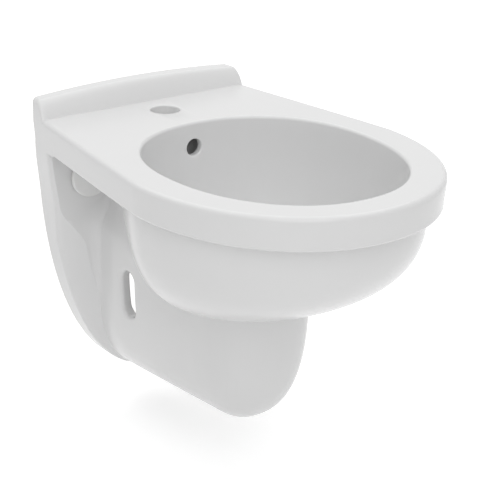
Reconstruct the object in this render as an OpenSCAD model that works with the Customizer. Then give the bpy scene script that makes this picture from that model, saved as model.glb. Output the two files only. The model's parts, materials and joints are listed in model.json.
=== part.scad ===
// Wall-hung bidet with fixing kit and click-clack waste. Millimetres.
// Frame: X right, Y to the wall, Z up; Y = 0 is the wall, Z = 0 the fixing studs.

/* [Pan outline] */
// full width of the rim
pan_width = 355; // [300:1:400]
// depth from the wall to the front of the rim
pan_depth = 480; // [420:1:560]
// distance from the wall at which the front arc of the rim begins
arc_start = 274; // [240:1:320]
// superellipse power of the front arc
arc_power = 2.08; // [1.8:0.01:3]
// how far each side of the rim draws in at the wall
flare = 36; // [0:1:60]
// curve of that drawing in
flare_power = 1.08; // [0.8:0.01:2]
// height of the rim band
band_height = 38; // [20:1:60]
// radius of the upper edge of the rim
edge_radius = 6; // [2:0.5:10]
// draft of the rim band at its lower edge
band_draft = 2; // [0:0.5:8]

/* [Rear ledge] */
// height of the ledge along the wall at its ends
ledge_height = 20.5; // [10:0.5:35]
// extra height of the ledge in the middle
ledge_crown = 6; // [0:0.5:12]
// foot of the ledge from the wall
ledge_foot = 28; // [18:0.5:40]
// front of the flat top of the ledge from the wall
ledge_top = 16; // [8:0.5:24]

/* [Bowl inside] */
// half width of the opening
opening_half = 135; // [110:1:150]
// reach of the opening to the rear from the arc start
opening_rear = 145; // [110:1:170]
// reach of the opening to the front from the arc start
opening_front = 166; // [140:1:190]
// depth of the bowl floor below the rim
bowl_depth = 160; // [120:1:180]
// distance of the waste hole from the wall
waste_y = 235; // [200:1:280]
// diameter of the overflow hole
overflow_d = 20; // [14:1:28]
// depth of the overflow hole below the rim
overflow_z = 31; // [24:1:50]

/* [Bowl outside] */
// half width of the bowl under the rim band
bowl_half = 167; // [140:1:175]
// reach of the bowl to the front from the arc start
bowl_front = 181; // [150:1:200]
// depth of the bowl below the rim band
bowl_drop = 160; // [120:1:180]

/* [Back flange and skirt] */
// half width of the back flange at its top
flange_half = 137; // [120:1:150]
// depth of the foot of the back flange below the rim
flange_depth = 349; // [300:1:380]
// thickness of the back flange
flange_thick = 40; // [20:1:50]
// how far the flange side stands out behind the rim band
flange_lip = 2.7; // [0:0.1:6]
// half width of the skirt at its nose
skirt_half = 70; // [60:1:110]
// half width of the neck between the two fixing recesses
neck_half = 60; // [50:1:75]
// distance of the skirt nose from the wall where its curve begins
skirt_nose = 222; // [200:1:260]
// height of the underside of the skirt at the wall above the foot of the flange
foot_rise = 4; // [2:0.5:20]
// wall thickness of the skirt
skirt_wall = 11; // [8:0.5:16]

/* [Skirt slots] */
// distance of each slot from the wall
slot_y = 102; // [90:0.5:130]
// depth of the centre of each slot below the rim
slot_drop = 211; // [200:0.5:250]
// width of each slot
slot_width = 24; // [12:1:30]
// height of each slot
slot_height = 60; // [30:1:70]

/* [Tap hole] */
// diameter of the tap hole
tap_d = 35; // [33:0.5:37]
// distance of the tap hole from the wall
tap_y = 68; // [60:1:80]

/* [Wall fixings] */
// distance between the two studs
stud_spacing = 180; // [180:1:230]
// depth of the studs below the rim
stud_drop = 73; // [60:1:90]
// diameter of each stud hole in the flange
stud_hole_d = 18; // [14:0.5:20]
// diameter of the recess behind each cover cap
cap_recess_d = 44; // [40:1:48]
// depth of that recess
cap_recess = 12; // [8:1:16]
// bore of the plastic sleeve
sleeve_bore_d = 13; // [12.5:0.1:14]
// diameter of each cover cap
cap_d = 52; // [50:1:60]
// how far each cover cap stands out from the flange
cap_height = 7; // [6:0.5:12]

/* [Waste] */
// diameter of the waste hole in the bowl floor
waste_hole_d = 46; // [44:1:50]
// depth of the waste seat under the bowl below the rim
waste_seat = 205; // [195:1:215]
// diameter of the rim of the waste
waste_rim_d = 63; // [60:0.5:65]
// outside diameter of the waste thread
waste_body_d = 41.9; // [41.5:0.1:42]
// bore of the waste
waste_bore_d = 36; // [34:0.5:37]
// outside diameter of the tail that the trap nut runs on
waste_tail_d = 40.4; // [39:0.1:41.9]
// length of the waste below its rim
waste_length = 88; // [75:1:100]
// travel of the plug from open to closed
plug_travel = 8; // [5:0.5:12]

/* [Fixing kit] */
// thickness of the sleeve's flange
sleeve_flange = 3; // [2:0.5:4]
// gap between the sleeve and its stud hole, on each side
sleeve_play = 0.3; // [0.1:0.1:0.5]
// gap between the sleeve's flange and the recess, on each side
collar_play = 0.5; // [0.2:0.1:1]
// outside diameter of the washer
washer_d = 30; // [24:1:36]
// thickness of the washer
washer_thick = 2.5; // [2:0.5:3]
// width across the flats of the nut
nut_width = 19; // [17:0.5:21]
// height of the nut
nut_height = 10; // [6:0.5:11]
// bore of the nut
nut_bore_d = 10.2; // [9.8:0.1:10.8]
// height of the bevel round the cap
cap_bevel_height = 1.5; // [0.5:0.5:3]
// width of that bevel
cap_bevel = 0.8; // [0.4:0.1:2]
// gap between the cap's spigot and the recess, on each side
cap_play = 0.4; // [0.2:0.1:0.8]
// wall of the cap
cap_wall = 2; // [1.5:0.5:3]

/* [Waste kit] */
// depth of the waste seat under the bowl floor
seat_depth = 2; // [1:0.5:4]
// gap between the rim of the waste and its seat, on each side
seat_play = 0.5; // [0.3:0.1:1]
// thickness of the ring seal under the rim
rim_seal_thick = 1.5; // [1:0.5:3]
// thickness of the rim of the waste
rim_thick = 2.5; // [2:0.5:4]
// depth of the web below the top of the rim
web_drop = 48; // [40:1:60]
// height of the web
web_height = 4; // [3:0.5:6]
// width of each arm of the web
web_width = 3; // [2:0.5:5]
// diameter of the hub of the web
hub_d = 14; // [12:0.5:18]
// bore of the hub
hub_bore_d = 6.4; // [6:0.1:8]
// gap between the cartridge's stem and the hub, on each side
stem_play = 0.1; // [0.05:0.05:0.3]
// width of each overflow slot in the waste
side_slot_width = 8; // [5:0.5:12]
// height of each overflow slot in the waste
side_slot_height = 18; // [12:1:24]
// depth of the middle of these slots below the rim's underside
side_slot_drop = 27; // [24:1:34]
// gap between the rings and the waste, on each side
ring_play = 0.3; // [0.1:0.1:0.5]
// gap between the backnut and the waste, on each side
thread_play = 0.05; // [0.02:0.01:0.2]
// outside diameter of the gasket
gasket_d = 64; // [58:1:70]
// thickness of the gasket
gasket_thick = 8; // [4:0.5:10]
// outside diameter of the slip washer
slip_d = 66; // [60:1:70]
// thickness of the slip washer
slip_thick = 2.5; // [1:0.5:4]
// width across the flats of the backnut
backnut_width = 56; // [50:1:64]
// height of the backnut
backnut_height = 9; // [7:0.5:14]
// diameter of the backnut's collar
collar_d = 64; // [60:1:70]
// height of that collar
collar_height = 1.5; // [1:0.5:3]
// length of full thread that shows below the backnut
tail_gap = 1; // [0.5:0.5:5]

/* [Click cartridge and plug] */
// outside diameter of the housing
housing_d = 12; // [10:0.5:14]
// wall of the housing
housing_wall = 1.4; // [1:0.1:2]
// length of the housing
housing_length = 22; // [18:1:30]
// thickness of each end of the housing
housing_end = 2; // [1:0.5:3]
// diameter of the plunger's rod
rod_d = 5.2; // [4:0.1:5.6]
// gap between the rod and the housing, on each side
rod_play = 0.15; // [0.1:0.05:0.3]
// diameter of the plunger's head
head_d = 8.8; // [8:0.1:9]
// thickness of that head
head_thick = 2; // [1:0.5:3]
// distance of the open plunger's head below the housing's top
head_drop = 6; // [5:0.5:8]
// diameter of the spring, middle of the wire to middle of the wire
spring_d = 7.5; // [7:0.1:8]
// diameter of the spring's wire
wire_d = 0.7; // [0.4:0.1:1]
// gap between the open plug and the rim of the waste
plug_gap = 1; // [0.5:0.1:2]
// diameter of the plug
plug_d = 60; // [56:0.5:62]
// height of the plug
plug_height = 6.6; // [5:0.1:9]
// depth of the rod's socket in the plug
socket_depth = 4; // [3:0.5:4.5]
// gap between the rod and its socket, on each side
socket_play = 0.05; // [0.02:0.01:0.1]
// gap between the end of the rod and the bottom of its socket
socket_end = 0.5; // [0.2:0.1:1]
// outside diameter of the plug's seal
plug_seal_d = 48; // [40:0.5:54]
// bore of the plug's seal
plug_seal_bore_d = 24; // [12:0.5:30]
// thickness of the plug's seal
plug_seal_thick = 1; // [0.5:0.1:1]

/* [Hidden] */
plate_start = 20;
plate_power = 2.24;
lip_start = 38;
lip_fade = 60;
flare_fade = 130;
pocket_start = 88;
pocket_fade = 70;
pocket_rise = 0.5;
pocket_round = 3.4;
cove_round = 58;
skirt_taper = 10;
nose_length = 82;
nose_power = 3.15;
keel_start = 150;
keel_slope = 0.05;
keel_power = 3.2;
skirt_power = 2.36;
bowl_start = 38.5;
bowl_slope = 27.5;
bowl_taper = 0.00398;
bowl_bend = 60;
bowl_end_power = 2.1;
bowl_drop_power = 3.05;
bowl_side_power = 2.07;
blend = 3500;
floor_half = 34;
nA = 14;
nB = 16;
nK = 4;
nU = 11;
nV = 12;
nW = 10;
skirt_depth = flange_depth - foot_rise;
body_floor = stud_drop - bowl_depth;
rim_seat = body_floor - seat_depth;
rim_bottom = rim_seat + rim_seal_thick;
rim_top = rim_bottom + rim_thick;
neck_z = stud_drop - waste_seat;
body_end = rim_bottom - waste_length;
web_z = rim_top - web_drop;
plug_z = rim_top + plug_gap + plug_travel;
cap_face = flange_thick + cap_height;
recess_y = flange_thick - cap_recess;

function clip(x, a, b) = min(max(x, a), b);
function smooth(x) = let(t = clip(x, 0, 1)) t*t*(3 - 2*t);
function spow(g, p) = sign(g)*pow(abs(g), p);
function sq(x) = x*x;

// half width of the rim outline at distance q from the wall
function rim_half(q) = q > arc_start
  ? pan_width/2*pow(max(0, 1 - pow(clip((q - arc_start)/(pan_depth - arc_start), 0, 1), arc_power)), 1/arc_power)
  : pan_width/2 - flare*pow(clip((arc_start - q)/arc_start, 0, 1), flare_power);

// half width of the back flange at height z below the rim and distance q from the wall
function plate(z, q = 0) = plate_f(max(0, -z - plate_start)/(flange_depth - plate_start))
  + flange_lip*(1 - smooth((-z - lip_start)/lip_fade))
  + (rim_half(q) - rim_half(0))*(1 - smooth((-z - lip_start)/flare_fade));
function plate_f(d) = flange_half*sqrt(max(0, 1 - pow(d, plate_power)));
// the same with the front edge rounded
function edge_r(z) = 5 + 15*smooth((-z - 100)/120);
function edge_x(r, t) = r - sqrt(max(0, r*r - sq(clip(t, 0, r))));
function flange(z, q) = max(0, plate(z, q) - edge_x(edge_r(z), q - flange_thick + edge_r(z)));

// share of the extra flange width left at distance q, a quarter circle of radius r
function cove(q, r) = q <= flange_thick ? 1 : 1 - sqrt(max(0, 1 - sq(1 - clip((q - flange_thick)/r, 0, 1))));
function below(z, q) = smooth((-z - pocket_start + pocket_rise*clip(q - flange_thick, 0, 60))/pocket_fade);

// squared half width of the skirt
function skirt_g(q, z) = 1 - pow(max(0, (q - skirt_nose)/nose_length), nose_power)
  - pow(max(0, (-z - keel_start)/(skirt_depth - keel_slope*q - keel_start)), keel_power);
function skirt_k(q, z) = neck_half
  + (skirt_half + skirt_taper*clip((skirt_nose - q)/150, 0, 1) - neck_half)*below(z, flange_thick);
function skirt2(q, z) = sq(skirt_k(q, z))*spow(skirt_g(q, z), 2/skirt_power);

// squared half width of the bowl outside
function bowl_h(q) = bowl_drop - bowl_slope*clip((q - 200)/150, 0, 1.6);
function bowl_g(q, z) = 1 - pow(max(0, q - arc_start)/bowl_front, bowl_end_power)
  - pow(max(0, (-z - bowl_start)/bowl_h(q)), bowl_drop_power);
function bowl_w(q) = bowl_half*max(0, 1 - bowl_taper*(norm([max(0, arc_start - q), bowl_bend]) - bowl_bend));
function bowl_f(w, g) = sq(g < 0 ? max(40, w) : w)*spow(g, 2/bowl_side_power);
function bowl2(q, z) = bowl_f(bowl_w(q), bowl_g(q, z));

// smooth union of the two, as a squared half width
function join_f(a, b, d) = b + (a - b)*d + blend*d*(1 - d);
function join2(a, b) = join_f(a, b, clip(0.5 + 0.5*(a - b)/blend, 0, 1));
// flange and skirt: a square recess above, a long cove below; side 1 is the neck side of the recess
function low2(q, z, k) = k + max(sq(flange(z, q)) - k, 0)*cove(q, cove_round);
function pocket_half(q, z, k, side) = q < flange_thick || (q == flange_thick && side == 0) ? flange(z, q)
  : sqrt(k) + pocket_round*cove(q, pocket_round);
function stem_f(q, z, side, k, s) = k < 0 || s >= 1 ? low2(q, z, k)
  : sq(pocket_half(q, z, k, side)*(1 - s) + sqrt(low2(q, z, k))*s);
function stem2(q, z, side) = stem_f(q, z, side, skirt2(q, z), below(z, q));
function w2(q, z, side = 1) = join2(stem2(q, z, side), bowl2(q, z));

// front end of the bowl under the rim band
function front_q(lo, hi, n) = n == 0 ? lo
  : w2((lo + hi)/2, -bowl_start) > 0 ? front_q((lo + hi)/2, hi, n - 1) : front_q(lo, (lo + hi)/2, n - 1);
under_front = front_q(arc_start, arc_start + bowl_front + 5, 30);

// one row of points along the outline, from the front centre to the wall
function row(front) = concat(
  [for (i = [0:nA - 1]) arc_start + (front - arc_start)*cos(90*i/nA)],
  [for (d = [13, 8, 4, 0]) arc_start + d],
  [for (i = [1:nB]) arc_start - (arc_start - 72)*(0.55*i/nB + 0.45*sin(90*i/nB))],
  [for (d = [24, 17, 11, 7]) flange_thick + d],
  [for (d = [1, 0.5, 0.15, 0, 0]) flange_thick + pocket_round*d],
  [39.7, 38.6, 36, 30, 18, 0]);
row_rim = row(pan_depth);
row_low = row(under_front);
M = len(row_rim) - 1;
function side_of(i) = i > M - 7 ? 0 : 1;
P = M + nK;
N = 2*P;

// fan of rays from the rim band down to the keel curve
function tilt(q) = 24*smooth((q - 40)/120)*(1 - 0.6*smooth((q - 215)/70)) + 50*smooth((q - 340)/130);
function ray2(q, a, s) = w2(q + s*sin(a), -bowl_start - s*cos(a));
function march(q, a, s) = s > 450 ? 450 : ray2(q, a, s) <= 0 ? s : march(q, a, s + 6);
function bisect(q, a, lo, hi, n) = n == 0 ? lo
  : ray2(q, a, (lo + hi)/2) > 0 ? bisect(q, a, (lo + hi)/2, hi, n - 1) : bisect(q, a, lo, (lo + hi)/2, n - 1);
function reach(q, a, s) = s <= 0 ? 0 : bisect(q, a, max(0, s - 6), s, 24);
function ray_at(r, s) = [r[0] + s*sin(r[1]), -bowl_start - s*cos(r[1])];
// where the ray leaves the bowl for the skirt, so that one row of points follows that crease
function over(r, s) = let(c = ray_at(r, s)) bowl2(c[0], c[1]) > stem2(c[0], c[1], 1);
function crease(r, s) = s < 0.16*r[2] ? 0.16*r[2] : over(r, s) ? s : crease(r, s - 2);
function fan(r) = [r[0], r[1], r[2], r[3], min(0.9*r[2], crease(r, r[2]))];
rays = [for (i = [0:M]) let(q = row_low[i], a = tilt(q)) fan([q, a, reach(q, a, march(q, a, 0)), side_of(i)])];
function ease_a(t) = 1 - pow(1 - t, 1.5);
function ease_b(t) = 0.45*t + 0.55*(3*t*t - 2*t*t*t);
function run_at(r, k) = k <= nU ? r[4]*ease_a(k/nU) : k == nU + nV ? r[2] : r[4] + (r[2] - r[4])*ease_b((k - nU)/nV);

// height of the deck above the rim plane
function rise(q) = 1 - smooth((q - ledge_top)/(ledge_foot - ledge_top));
function deck_z(x, q) = rise(q)*(ledge_height + ledge_crown*(1 - sq(clip(x/140, -1, 1))));

// rim outline as points [x, q] with outward normals
rim_pts = [for (q = row_rim) [rim_half(q), q]];
function unit(v) = v/norm(v);
function arc_n(x, q) = [pow(x*2/pan_width, arc_power - 1)*2/pan_width,
  pow((q - arc_start)/(pan_depth - arc_start), arc_power - 1)/(pan_depth - arc_start)];
function side_n(q) = [1, -flare*flare_power/arc_start*pow((arc_start - q)/arc_start, flare_power - 1)];
function rim_n(i) = let(p = rim_pts[i]) i == M ? [1, 0] : p[1] > arc_start ? unit(arc_n(p[0], p[1])) : unit(side_n(p[1]));
function keep(x, q, z) = q < 56 && z < -25 ? max(x, plate(z, q)) : x;
function inset(i, d, z) = let(p = rim_pts[i] - d*rim_n(i)) [keep(max(0, p[0]), p[1], z), p[1]];

// half ring: side points, then points across the back to the middle
function across(side, z) = concat(side, [for (k = [1:nK]) [side[M][0]*(1 - k/nK), 0, z]]);
function ring_band(d, z) = across([for (i = [0:M]) let(p = inset(i, d, z)) [p[0], p[1], z]], z);
function ring_top(d, z) = [for (p = ring_band(d, 0)) [p[0], p[1], deck_z(p[0], p[1]) + z]];
function low_pt(r, k) = let(c = ray_at(r, run_at(r, k)))
  [k == nU + nV ? 0 : sqrt(max(0, w2(c[0], c[1], r[3]))), c[0], c[1]];
function ring_low(k) = let(s = [for (r = rays) low_pt(r, k)]) across(s, s[M][2]);

// opening and bowl inside, polar about the arc start, drawn in to the waste
edge = ring_top(edge_radius, 0);
function open_a(i) = i == P ? 180 : atan2(edge[i][0], edge[i][1] - arc_start);
function open_r(a) = a <= 90
  ? pow(pow(sin(a)/opening_half, 2.13) + pow(cos(a)/opening_front, 2.13), -1/2.13)
  : pow(pow(sin(a)/opening_half, 2.18) + pow(-cos(a)/opening_rear, 2.18), -1/2.18);
function open_pt(i, d, z) = let(a = open_a(i), r = open_r(a) + d) [i == 0 || i == P ? 0 : r*sin(a), arc_start + r*cos(a), z];
function ring_open(d, z) = [for (i = [0:P]) open_pt(i, d, z)];
function in_power(i) = 3.3 - 0.6*smooth((open_a(i) - 70)/90);
function floor_pt(i) = [floor_half*(i == 0 || i == P ? 0 : sin(open_a(i))), waste_y + floor_half*cos(open_a(i))];
function in_s(i, t) = pow(cos(t), 2/in_power(i));
function in_d(i, t) = pow(sin(t), 2/in_power(i));
function in_pt(i, t) = let(o = open_pt(i, 0, 0), f = floor_pt(i), s = in_s(i, t))
  [f[0] + (o[0] - f[0])*s, f[1] + (o[1] - f[1])*s, -4 - (bowl_depth - 4)*in_d(i, t)];
function ring_in(t) = [for (i = [0:P]) in_pt(i, t)];

// deck between the opening and the rim edge
lip = ring_open(5, 0);
function deck_t(i, m, t) = edge[i][1] < ledge_foot + 0.01
  ? clip((lip[i][1] - m)/(lip[i][1] - edge[i][1]), 0, 1)
  : t + (0.96 + 0.03*t - t)*smooth((80 - edge[i][1])/50);
function deck_at(p) = [p[0], p[1], deck_z(p[0], p[1])];
function deck_pt(i, m, t) = let(k = deck_t(i, m, t)) k >= 1 ? edge[i] : deck_at(lip[i] + (edge[i] - lip[i])*k);
function ring_deck(m, t) = [for (i = [0:P]) deck_pt(i, m, t)];

rings = concat(
  [for (k = [0:nW]) ring_in(90 - 90*k/nW)],
  [ring_open(0.5, -2), ring_open(2, -0.5), lip],
  [ring_deck(28, 0.35), ring_deck(24, 0.6), ring_deck(20, 0.8), ring_deck(16, 0.92)],
  [edge, ring_top(3, -0.8), ring_top(0.8, -3), ring_top(0, -7)],
  [ring_band(band_draft*0.4, -20), ring_band(band_draft*0.8, -band_height + 6)],
  [ring_band(band_draft + 1, -band_height + 2), ring_band(band_draft + 4, -band_height)],
  [for (k = [0:nU + nV]) ring_low(k)]);
nR = len(rings);

// full ring: the half ring and its mirror
function at(p) = [p[0], -p[1], p[2] + stud_drop];
function full(r) = [for (j = [0:N - 1]) j <= P ? at(r[j]) : let(p = r[N - j]) at([-p[0], p[1], p[2]])];
body_points = concat([for (r = rings) for (p = full(r)) p], [[0, -waste_y, body_floor]]);
function strip(k, c) = [for (j = [0:N - 1]) let(a = k*N + j, b = k*N + (j + 1)%N) [a, b, b + N, a + N]];
function tris(f) = [[f[0], f[1], f[2]], [f[0], f[2], f[3]]];
function good(f, v) = v[f[0]] != v[f[1]] && v[f[1]] != v[f[2]] && v[f[2]] != v[f[0]];
body_faces = concat(
  [for (j = [0:N - 1]) let(t = [(j + 1)%N, j, nR*N]) if (good(t, body_points)) t],
  [for (k = [0:nR - 2]) for (f = strip(k)) for (t = tris(f)) if (good(t, body_points)) t]);

// rear hollow: sections across, from behind the wall plane to the skirt nose
function hole_top(q) = q < 87 ? -22 : q < 95 ? -22 - (q - 87)/8*118 : max(-waste_seat, -140 - (q - 95)*0.631);
function hole_in(q, z) = let(s = skirt2(q + skirt_wall, z - skirt_wall)) max(0, (s > 0 ? sqrt(s) : 0) - skirt_wall);
function hole_flare(q, z) = max(0, plate(z - 16) - 24 - hole_in(q, z))*cove(q + skirt_wall, cove_round)*smooth((-z - 118)/50);
function hole_half(q, z) = hole_in(q, z) + hole_flare(q, z);
function hole_foot(q, lo, hi, n) = n == 0 ? hi
  : hole_in(q, (lo + hi)/2) > 0 ? hole_foot(q, lo, (lo + hi)/2, n - 1) : hole_foot(q, (lo + hi)/2, hi, n - 1);
hole_q = [-5, 6, 14, 19, 20.5, 23, 27, 33, 41, 51, 62, 75, 87, 95, 115, 150, 179, 196, 215, 235, 250, 262, 272, 280, 286];
nH = 15;
hr = 12;
function corner(w, z, a) = [w - hr*(1 - sin(a)), z - hr*(1 - cos(a))];
function hole_half_ring(q) = let(t = hole_top(q), b = hole_foot(q, -skirt_depth, -waste_seat - 30, 30), w = hole_half(q, t - hr))
  concat([[0, t]], [for (a = [0, 30, 60]) corner(w, t, a)],
  [for (i = [0:nH - 1]) let(z = t - hr - (b - t + hr)*-1*(0.5*i/nH + 0.5*(1 - cos(180*i/nH))/2)) [hole_half(q, z), z]],
  [[hole_half(q, b + 1.5), b + 1.5], [0, b]]);
hole_rings = [for (q = hole_q) hole_half_ring(q)];
hP = len(hole_rings[0]) - 1;
hN = 2*hP;
function hole_full(k) = let(r = hole_rings[k], q = hole_q[k])
  [for (j = [0:hN - 1]) j <= hP ? at([r[j][0], q, r[j][1]]) : at([-r[hN - j][0], q, r[hN - j][1]])];
nS = len(hole_q);
hole_points = [for (k = [0:nS - 1]) for (p = hole_full(k)) p];
hole_faces = concat(
  [for (k = [0:nS - 2]) for (j = [0:hN - 1]) let(a = k*hN + j, b = k*hN + (j + 1)%hN)
    for (t = tris([a, b, b + hN, a + hN])) t],
  [for (j = [1:hN - 2]) [0, j + 1, j]],
  [for (j = [1:hN - 2]) [(nS - 1)*hN, (nS - 1)*hN + j, (nS - 1)*hN + j + 1]]);

module ceramic_shell() {
  polyhedron(points = body_points, faces = body_faces, convexity = 8);
}

module rear_hollow() {
  polyhedron(points = hole_points, faces = hole_faces, convexity = 6);
}

// cylinder along Y from distance q0 to q1 from the wall
module bore_y(x, z, q0, q1, r) {
  translate([x, -q1, z])
    rotate([-90, 0, 0])
      cylinder(h = q1 - q0, r = r, $fn = 64);
}

// cylinder along Z from z0 to z1
module bore_z(x, q, z0, z1, r) {
  translate([x, -q, z0])
    cylinder(h = z1 - z0, r = r, $fn = 64);
}

module tube_z(q, z0, z1, r1, r0) {
  difference() {
    bore_z(0, q, z0, z1, r1);
    bore_z(0, q, z0 - 1, z1 + 1, r0);
  }
}

module slot(s) {
  x0 = s > 0 ? 40 : -110;
  h = (slot_height - slot_width)/2;
  translate([x0, -slot_y - slot_width/2, stud_drop - slot_drop - h])
    cube([70, slot_width, 2*h]);
  for (dz = [-h, h])
    translate([x0, -slot_y, stud_drop - slot_drop + dz])
      rotate([0, 90, 0])
        cylinder(h = 70, d = slot_width, $fn = 48);
}

// overflow way: into the rear wall of the bowl, down, and forward into the waste hole
overflow_q = 110;
overflow_turn = stud_drop - 128;
overflow_end = [waste_y - 14, stud_drop - 197];
overflow_run = [overflow_end[0] - overflow_q, overflow_end[1] - overflow_turn];

chamber_top = stud_drop - overflow_z + overflow_d/2 + 4;
chamber_foot = stud_drop - 84;
chamber_r = 12;
chamber_side = 18;

module overflow_way() {
  bore_y(0, stud_drop - overflow_z, overflow_q - 2, 150, overflow_d/2);
  translate([-chamber_side, -overflow_q - chamber_r, chamber_foot])
    cube([2*chamber_side, 2*chamber_r, chamber_top - chamber_foot]);
  for (s = [-1, 1])
    bore_z(s*chamber_side, overflow_q, chamber_foot, chamber_top, chamber_r);
  bore_z(0, overflow_q, overflow_turn, chamber_foot + 1, 8);
  translate([0, -overflow_q, overflow_turn])
    sphere(r = 8, $fn = 48);
  translate([0, -overflow_q, overflow_turn])
    rotate([90 + atan2(-overflow_run[1], overflow_run[0]), 0, 0])
      cylinder(h = norm(overflow_run), r = 7.9, $fn = 48);
}

module ceramic_body() {
  color("white")
    difference() {
      ceramic_shell();
      rear_hollow();
      bore_z(0, tap_y, stud_drop - 60, stud_drop + 40, tap_d/2);
      for (s = [-1, 1]) {
        bore_y(s*stud_spacing/2, 0, -2, flange_thick + 20, stud_hole_d/2);
        bore_y(s*stud_spacing/2, 0, recess_y, flange_thick + 20, cap_recess_d/2);
        slot(s);
      }
      bore_z(0, waste_y, neck_z - 30, rim_seat + 20, waste_hole_d/2);
      bore_z(0, waste_y, rim_seat, rim_seat + 20, waste_rim_d/2 + seat_play);
      overflow_way();
    }
}

// fixing kit on one stud, from the wall outwards
washer_q = recess_y + sleeve_flange;
nut_q = washer_q + washer_thick;

module fixing_sleeve(s) {
  color([0.9, 0.9, 0.88])
    difference() {
      union() {
        bore_y(s*stud_spacing/2, 0, 0, recess_y + 1, stud_hole_d/2 - sleeve_play);
        bore_y(s*stud_spacing/2, 0, recess_y, washer_q, cap_recess_d/2 - collar_play);
      }
      bore_y(s*stud_spacing/2, 0, -1, washer_q + 1, sleeve_bore_d/2);
    }
}

module fixing_washer(s) {
  color([0.75, 0.75, 0.75])
    difference() {
      bore_y(s*stud_spacing/2, 0, washer_q, nut_q, washer_d/2);
      bore_y(s*stud_spacing/2, 0, washer_q - 1, nut_q + 1, sleeve_bore_d/2);
    }
}

module fixing_nut(s) {
  color([0.78, 0.78, 0.75])
    difference() {
      translate([s*stud_spacing/2, -nut_q - nut_height, 0])
        rotate([-90, 0, 0])
          cylinder(h = nut_height, d = nut_width/cos(30), $fn = 6);
      bore_y(s*stud_spacing/2, 0, nut_q - 1, nut_q + nut_height + 1, nut_bore_d/2);
    }
}

module fixing_cap(s) {
  c = s*stud_spacing/2;
  r = cap_recess_d/2 - cap_play;
  color([0.92, 0.92, 0.92])
    difference() {
      union() {
        bore_y(c, 0, flange_thick, cap_face - cap_bevel_height, cap_d/2);
        bore_y(c, 0, cap_face - cap_bevel_height, cap_face, cap_d/2 - cap_bevel);
        bore_y(c, 0, washer_q, flange_thick + 1, r);
      }
      bore_y(c, 0, washer_q - 1, cap_face - cap_wall, r - cap_wall);
    }
}

// waste, from the rim down
body_r = waste_body_d/2;
slip_z = neck_z - gasket_thick;
nut_z = slip_z - slip_thick;
tail_top = nut_z - backnut_height - tail_gap;
web_top = web_z + web_height;

module waste_body() {
  color([0.8, 0.8, 0.82])
    difference() {
      union() {
        difference() {
          union() {
            bore_z(0, waste_y, rim_bottom, rim_top, waste_rim_d/2);
            bore_z(0, waste_y, tail_top, rim_bottom + 1, body_r);
            bore_z(0, waste_y, body_end, tail_top + 1, waste_tail_d/2);
          }
          bore_z(0, waste_y, body_end - 1, rim_top + 1, waste_bore_d/2);
        }
        bore_z(0, waste_y, web_z, web_top, hub_d/2);
        for (a = [0, 60, 120])
          translate([0, -waste_y, web_z])
            rotate([0, 0, a])
              translate([-waste_bore_d/2 - 1, -web_width/2, 0])
                cube([waste_bore_d + 2, web_width, web_height]);
      }
      bore_z(0, waste_y, web_z - 1, web_top + 1, hub_bore_d/2);
      for (a = [0, 90])
        translate([0, -waste_y, rim_bottom - side_slot_drop])
          rotate([0, 0, a])
            translate([-waste_body_d, -side_slot_width/2, -side_slot_height/2])
              cube([2*waste_body_d, side_slot_width, side_slot_height]);
    }
}

module waste_rim_seal() {
  color([0.2, 0.2, 0.2])
    tube_z(waste_y, rim_seat, rim_bottom, waste_rim_d/2 - 1, body_r + ring_play);
}

module waste_gasket() {
  color([0.15, 0.15, 0.15])
    tube_z(waste_y, slip_z, neck_z, gasket_d/2, body_r + ring_play);
}

module waste_washer() {
  color([0.9, 0.9, 0.9])
    tube_z(waste_y, nut_z, slip_z, slip_d/2, body_r + ring_play);
}

module waste_backnut() {
  color([0.8, 0.7, 0.4])
    difference() {
      union() {
        translate([0, -waste_y, nut_z - backnut_height])
          cylinder(h = backnut_height, d = backnut_width/cos(30), $fn = 6);
        bore_z(0, waste_y, nut_z - collar_height, nut_z, collar_d/2);
      }
      bore_z(0, waste_y, nut_z - backnut_height - 1, nut_z + 1, body_r + thread_play);
    }
}

// click cartridge: housing screwed in the hub, spring, plunger, plug and seal
guide_r = housing_d/2;
rod_r = rod_d/2;
housing_top = web_top + housing_length;

module cartridge_housing() {
  color([0.95, 0.95, 0.95])
    difference() {
      union() {
        bore_z(0, waste_y, web_top, housing_top, guide_r);
        bore_z(0, waste_y, web_z - housing_end, web_top + 1, hub_bore_d/2 - stem_play);
      }
      bore_z(0, waste_y, web_top + housing_end, housing_top - housing_end, guide_r - housing_wall);
      bore_z(0, waste_y, web_top + 1, housing_top + 1, rod_r + rod_play);
    }
}

spring_z0 = web_top + housing_end;
spring_z1 = housing_top - head_drop;

module cartridge_spring() {
  turns = 6;
  steps = 12*turns;
  color([0.6, 0.6, 0.62])
    translate([0, -waste_y, 0])
      spring(spring_z0 + wire_d/2, spring_z1 - wire_d/2, spring_d/2, wire_d/2, turns, steps);
}

module spring(z0, z1, r, w, turns, steps) {
  pts = [for (i = [0:steps]) for (k = [0:5]) let(a = 360*turns*i/steps, c = r + w*cos(60*k))
    [c*cos(a), c*sin(a), z0 + (z1 - z0)*i/steps + w*sin(60*k)]];
  sides = [for (i = [0:steps - 1]) for (k = [0:5]) [i*6 + k, i*6 + (k + 1)%6, i*6 + 6 + (k + 1)%6, i*6 + 6 + k]];
  ends = [[5, 4, 3, 2, 1, 0], [for (k = [0:5]) steps*6 + k]];
  polyhedron(points = pts, faces = concat(sides, ends), convexity = 8);
}

module cartridge_plunger() {
  color([0.85, 0.85, 0.8])
    union() {
      bore_z(0, waste_y, spring_z1, spring_z1 + head_thick, head_d/2);
      bore_z(0, waste_y, spring_z1 + 1, plug_z + socket_depth - socket_end, rod_r);
    }
}

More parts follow.
